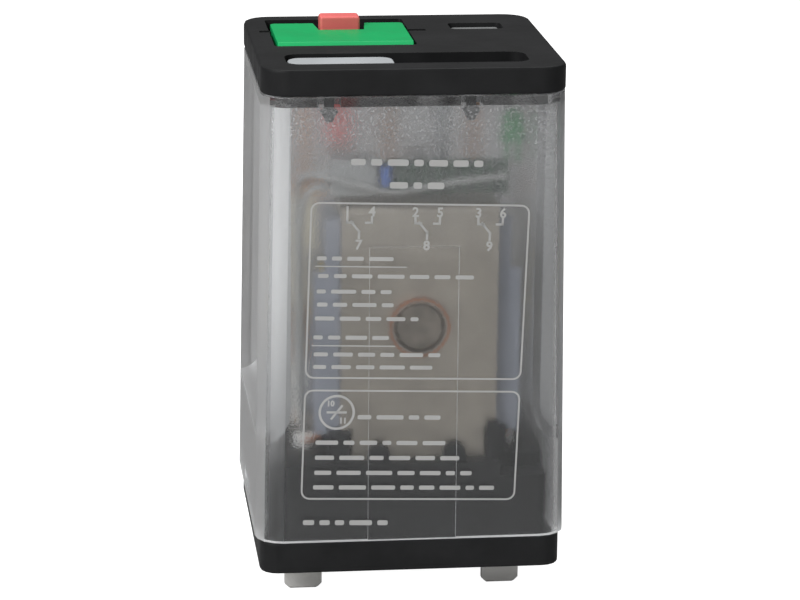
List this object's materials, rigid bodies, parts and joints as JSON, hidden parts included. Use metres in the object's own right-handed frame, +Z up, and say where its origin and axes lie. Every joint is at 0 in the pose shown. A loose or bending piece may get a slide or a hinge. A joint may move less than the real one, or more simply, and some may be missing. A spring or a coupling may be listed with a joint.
{
  "type": "plug-in relay",
  "caption": "Upright plug-in control relay: clear square cover over a horizontal coil and changeover contacts, black cap with lock-down door, test button and tag, flat blades below.",
  "frame": {"origin": "centre of the seating face, the flat underside of the base that meets the socket", "axes": "+Z up, away from the socket; -Y towards the front, the coil side; +X to the right seen from the front"},
  "size_m": [0.0388, 0.0362, 0.0713],
  "materials": {
    "black_plastic": "fine matte moulding grain",
    "clear_plastic": "smoky clear polycarbonate",
    "green_plastic": "satin green moulding",
    "red_plastic": "satin red moulding",
    "white_plastic": "satin white write-on plastic",
    "lamp_green": "green tinted epoxy lamp",
    "lens_grey": "grey translucent light window",
    "bobbin_plastic": "blue-grey glass-filled nylon",
    "carrier_plastic": "ivory thermoset insulator",
    "grey_plastic": "light grey insulator",
    "blue_lacquer": "blue lacquered component body",
    "board_laminate": "dark circuit board laminate",
    "tape": "polyester coil tape",
    "wire_jacket": "pale wire insulation",
    "blade_metal": "tin plated brass",
    "plated_steel": "zinc plated iron, warm grey",
    "iron": "nickel flashed soft iron",
    "spring_wire": "drawn spring steel",
    "copper": "enamelled copper",
    "spring_copper": "copper alloy, satin",
    "silver": "silver alloy contact"
  },
  "bodies": {
    "housing": {"base": "black_plastic", "bobbin": "bobbin_plastic", "braid_1": "spring_copper", "braid_2": "spring_copper", "braid_3": "spring_copper", "closed_contact_1": "silver", "closed_contact_2": "silver", "closed_contact_3": "silver", "closed_terminal_1": "blade_metal", "closed_terminal_2": "blade_metal", "closed_terminal_3": "blade_metal", "coil_lead_a": "copper", "coil_lead_b": "copper", "coil_tape": "tape", "coil_terminal_a": "blade_metal", "coil_terminal_b": "blade_metal", "coil_winding": "copper", "common_terminal_1": "blade_metal", "common_terminal_2": "blade_metal", "common_terminal_3": "blade_metal", "core": "iron", "core_washer": "copper", "cover": "clear_plastic", "dropping_resistor": "blue_lacquer", "indicator_board": "board_laminate", "indicator_lamp": "lamp_green", "indicator_lens": "lens_grey", "indicator_wire_a": "wire_jacket", "indicator_wire_b": "wire_jacket", "open_contact_1": "silver", "open_contact_2": "silver", "open_contact_3": "silver", "open_terminal_1": "blade_metal", "open_terminal_2": "blade_metal", "open_terminal_3": "blade_metal", "return_spring": "spring_wire", "shading_ring": "copper", "top_cap": "black_plastic", "wire_anchor_block": "grey_plastic", "yoke": "plated_steel"},
    "armature": {"armature": "iron", "contact_carrier": "carrier_plastic", "status_flag": "white_plastic", "armature_rivet_left": "silver", "armature_rivet_right": "silver", "moving_spring_1": "spring_copper", "moving_contact_1": "silver", "moving_spring_2": "spring_copper", "moving_contact_2": "silver", "moving_spring_3": "spring_copper", "moving_contact_3": "silver"},
    "push_button": {"push_button": "red_plastic"},
    "lock_down_door": {"lock_down_door": "green_plastic", "door_pin_left": "black_plastic", "door_pin_right": "black_plastic"},
    "id_tag": {"id_tag": "white_plastic"}
  },
  "joints": [
    {"name": "armature_swing", "type": "hinge", "parent": "housing", "child": "armature", "pos_m": [0.0012, 0.0024, 0.0453], "axis": [-1, 0, 0], "range_deg": [0, 3.8], "stiffness_Nm_per_rad": 0.02, "springref_deg": -17.19},
    {"name": "button_press", "type": "slide", "parent": "housing", "child": "push_button", "axis": [0, 0, -1], "range_m": [0, 0.0012]},
    {"name": "door_lift", "type": "hinge", "parent": "housing", "child": "lock_down_door", "pos_m": [-0.0066, 0.0071, 0.0635], "axis": [-1, 0, 0], "range_deg": [0, 90]},
    {"name": "tag_slide", "type": "slide", "parent": "housing", "child": "id_tag", "axis": [1, 0, 0], "range_m": [0, 0.0158]}
  ],
  "couplings": [
    {"joint": "button_press", "follows": "armature_swing", "m_per_rad": 0.01809}
  ]
}
